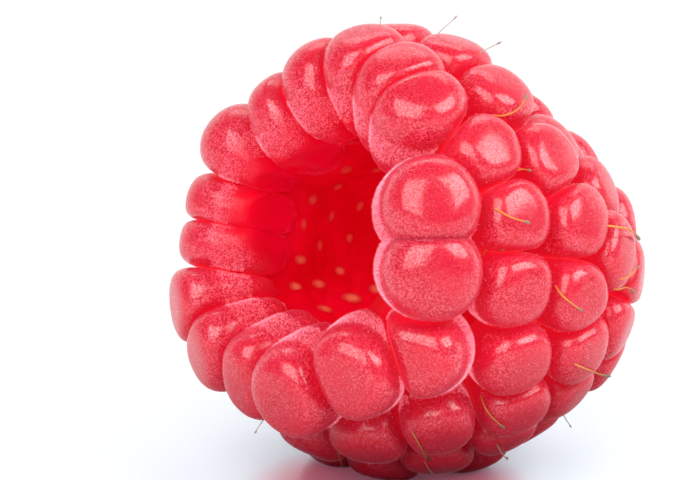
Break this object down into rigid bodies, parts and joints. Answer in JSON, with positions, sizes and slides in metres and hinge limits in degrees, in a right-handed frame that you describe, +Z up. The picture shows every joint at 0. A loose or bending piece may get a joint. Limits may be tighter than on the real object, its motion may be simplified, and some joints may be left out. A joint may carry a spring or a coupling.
{
  "type": "raspberry",
  "caption": "Ripe raspberry picked off its core: a hollow cup of downy red drupelets, lying on its side on a small flat spot with its mouth tipped up.",
  "frame": {"origin": "on the surface the berry lies on, under the middle of its box", "axes": "+Z up, the open mouth towards -Y and tipped up by about 16 degrees, the tip towards +Y"},
  "size_m": [0.0228, 0.0236, 0.0232],
  "materials": {
    "ripe_skin": "ripe red fruit skin, juicy under a fine pale down",
    "hollow_skin": "smooth deep red lining of the hollow",
    "core_scar": "small pale spots where the drupelets parted from the core",
    "dried_style": "dry orange brown thread",
    "down": "short pale pink hairs"
  },
  "bodies": {
    "root": {"berry": "ripe_skin"}
  },
  "joints": []
}
